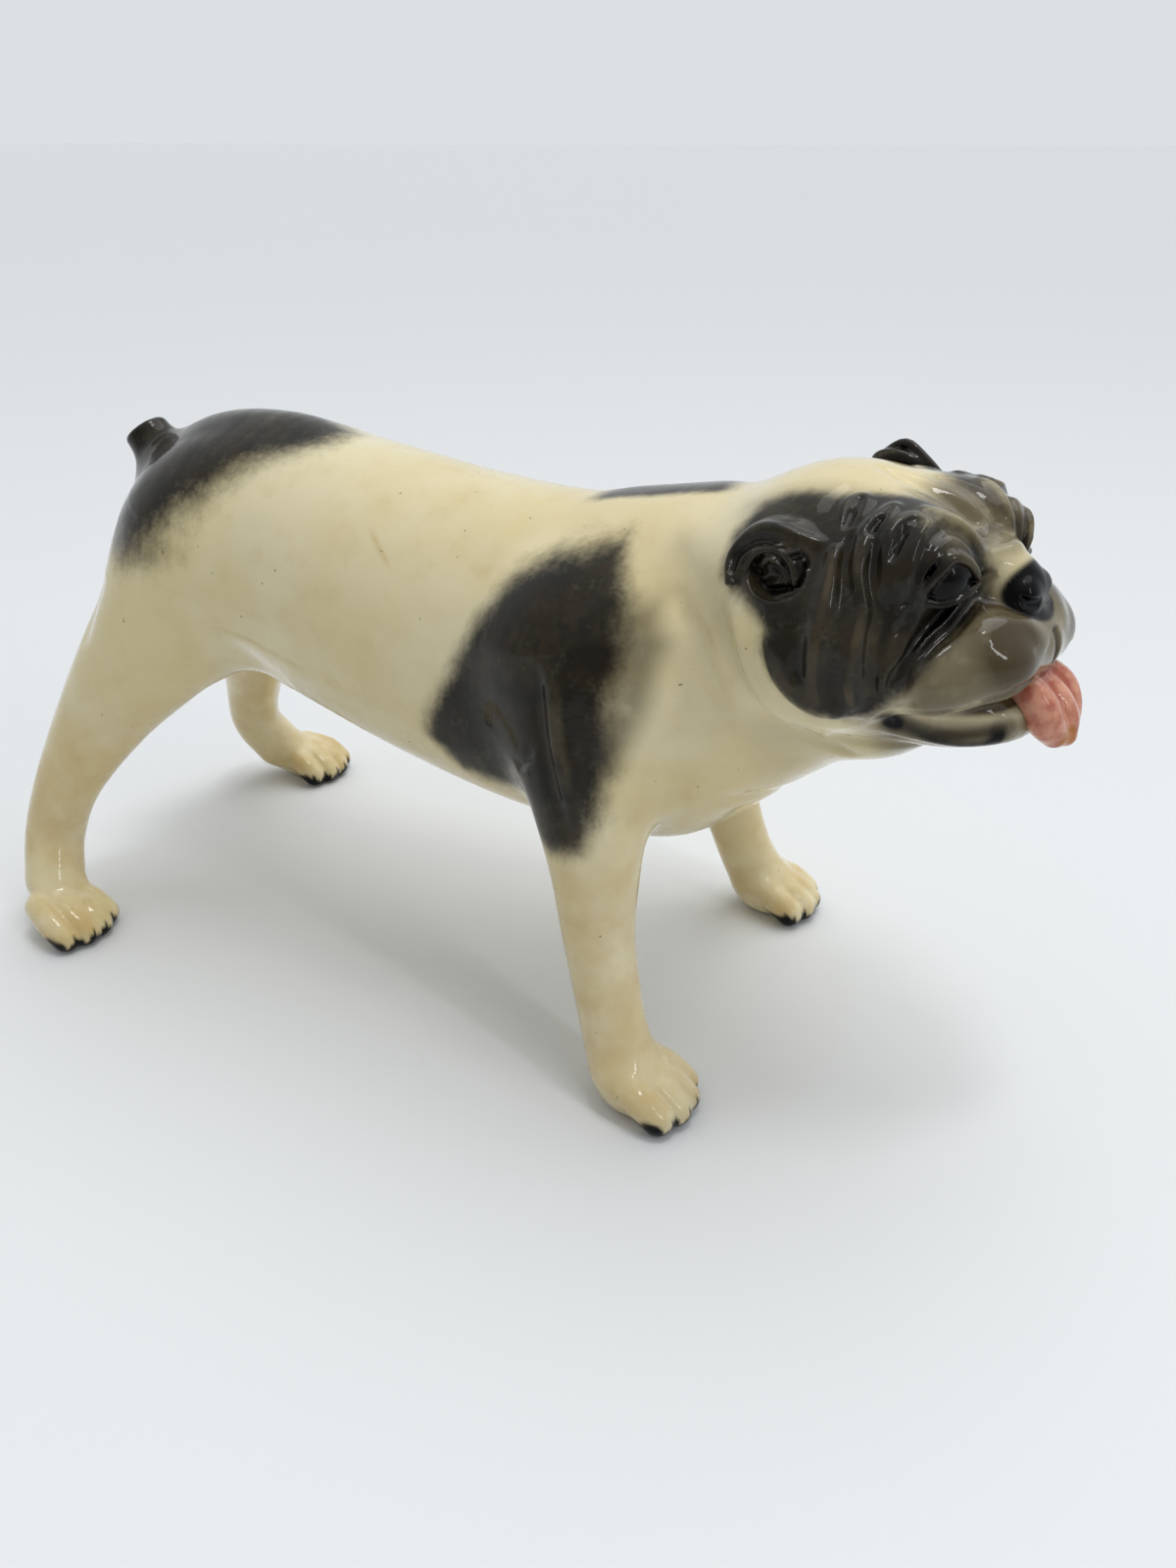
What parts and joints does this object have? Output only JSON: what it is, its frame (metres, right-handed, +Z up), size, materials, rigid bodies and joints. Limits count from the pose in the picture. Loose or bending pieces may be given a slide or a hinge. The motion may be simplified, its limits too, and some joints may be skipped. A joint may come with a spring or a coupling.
{
  "type": "figurine",
  "caption": "Glazed ceramic bulldog figurine standing on four splayed legs, head turned slightly, short tail up and tongue out.",
  "frame": {"origin": "on the ground, under the middle of the whole figurine's bounding box", "axes": "+X the way the body points, from the tail to the head; +Y the dog's left side; +Z up"},
  "size_m": [0.2294, 0.1116, 0.122],
  "materials": {
    "body_glaze": "clear gloss glaze over ivory body with airbrushed dark brown patches",
    "head_glaze": "clear gloss glaze over dark brown and grey-tan shading with an ivory blaze",
    "leg_glaze": "clear gloss glaze over ivory body, slightly yellowed, with dark claws",
    "tail_glaze": "clear gloss glaze over dark brown",
    "ear_glaze": "clear gloss glaze over dark brown",
    "tongue_glaze": "clear gloss glaze over pink, orange at the tip"
  },
  "bodies": {
    "root": {"torso": "body_glaze", "head": "head_glaze", "fore_leg_right": "leg_glaze", "fore_leg_left": "leg_glaze", "hind_leg_right": "leg_glaze", "hind_leg_left": "leg_glaze", "tail": "tail_glaze", "ear_right": "ear_glaze", "ear_left": "ear_glaze", "tongue": "tongue_glaze"}
  },
  "joints": []
}
